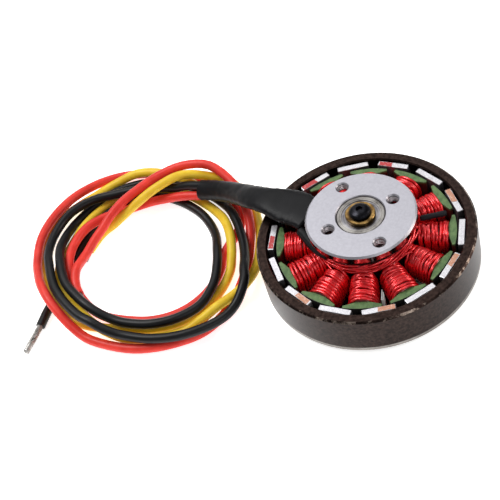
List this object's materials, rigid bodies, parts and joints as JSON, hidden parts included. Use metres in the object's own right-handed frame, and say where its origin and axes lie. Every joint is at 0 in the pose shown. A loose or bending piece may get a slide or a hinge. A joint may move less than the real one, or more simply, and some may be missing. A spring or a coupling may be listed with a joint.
{
  "type": "brushless outrunner motor",
  "caption": "Outrunner motor for a drone: a magnet bell turns round a wound stator on a bolt-down base, with three silicone leads.",
  "frame": {"origin": "centre of the hub face that the propeller sits on, on the surface that the motor stands on", "axes": "+Z along the shaft and out of the mounting base, +X and +Y through the two pairs of base holes, 16 mm apart on X and 19 mm apart on Y"},
  "size_m": [0.1072, 0.0885, 0.0206],
  "materials": {
    "base_aluminium": "satin turned aluminium, anodised clear",
    "lamination": "thin green insulating coat on stacked steel laminations",
    "enamelled_wire": "red transparent enamel over drawn copper wire",
    "sleeve_plastic": "black shrink sleeve, satin",
    "liner_plastic": "grey slot liner board",
    "silicone_red": "soft red silicone insulation",
    "silicone_yellow": "soft yellow silicone insulation",
    "silicone_black": "soft black silicone insulation",
    "tinned_copper": "bare strands dipped in solder",
    "ring_steel": "dark plated steel, fine turned",
    "cover_aluminium": "satin aluminium",
    "polished_steel": "ground and polished steel",
    "brass": "turned brass",
    "black_steel": "black oxide steel",
    "ball_steel": "mirror polished steel balls",
    "cage_plastic": "moulded crown cage",
    "magnet_nickel": "nickel plated magnet"
  },
  "bodies": {
    "stator": {"base_mount": "base_aluminium", "stator_core": "lamination", "crossover_bundle": "enamelled_wire", "star_joint": "sleeve_plastic", "slot_liner": "liner_plastic", "phase_sleeve": "sleeve_plastic", "lead_sleeve": "sleeve_plastic", "lead_red": "silicone_red", "lead_yellow": "silicone_yellow", "lead_black": "silicone_black", "tip_red": "tinned_copper", "tip_yellow": "tinned_copper", "tip_black": "tinned_copper", "base_bearing_outer": "polished_steel", "base_bearing_shields": "polished_steel", "hub_bearing_outer": "polished_steel", "hub_bearing_shields": "polished_steel", "coil_1": "enamelled_wire", "coil_2": "enamelled_wire", "coil_3": "enamelled_wire", "coil_4": "enamelled_wire", "coil_5": "enamelled_wire", "coil_6": "enamelled_wire", "coil_7": "enamelled_wire", "coil_8": "enamelled_wire", "coil_9": "enamelled_wire", "coil_10": "enamelled_wire", "coil_11": "enamelled_wire", "coil_12": "enamelled_wire"},
    "rotor": {"flux_ring": "ring_steel", "bell_cover": "cover_aluminium", "magnet_1": "magnet_nickel", "magnet_2": "magnet_nickel", "magnet_3": "magnet_nickel", "magnet_4": "magnet_nickel", "magnet_5": "magnet_nickel", "magnet_6": "magnet_nickel", "magnet_7": "magnet_nickel", "magnet_8": "magnet_nickel", "magnet_9": "magnet_nickel", "magnet_10": "magnet_nickel", "magnet_11": "magnet_nickel", "magnet_12": "magnet_nickel", "magnet_13": "magnet_nickel", "magnet_14": "magnet_nickel", "shaft": "polished_steel", "collar": "brass", "cap_screw": "black_steel", "hub_spacer": "polished_steel", "base_bearing_inner": "polished_steel", "hub_bearing_inner": "polished_steel"},
    "base_ball_set": {"base_bearing_balls": "ball_steel", "base_bearing_cage": "cage_plastic"},
    "hub_ball_set": {"hub_bearing_balls": "ball_steel", "hub_bearing_cage": "cage_plastic"}
  },
  "joints": [
    {"name": "rotor_spin", "type": "hinge", "parent": "stator", "child": "rotor", "pos_m": [0, 0, 0], "axis": [0, 0, 1], "continuous": true},
    {"name": "base_balls_spin", "type": "hinge", "parent": "stator", "child": "base_ball_set", "pos_m": [0, 0, 0.0165], "axis": [0, 0, 1], "continuous": true},
    {"name": "hub_balls_spin", "type": "hinge", "parent": "stator", "child": "hub_ball_set", "pos_m": [0, 0, 0.0075], "axis": [0, 0, 1], "continuous": true}
  ],
  "couplings": [
    {"joint": "base_balls_spin", "follows": "rotor_spin", "ratio": 0.3933},
    {"joint": "hub_balls_spin", "follows": "rotor_spin", "ratio": 0.3933}
  ]
}
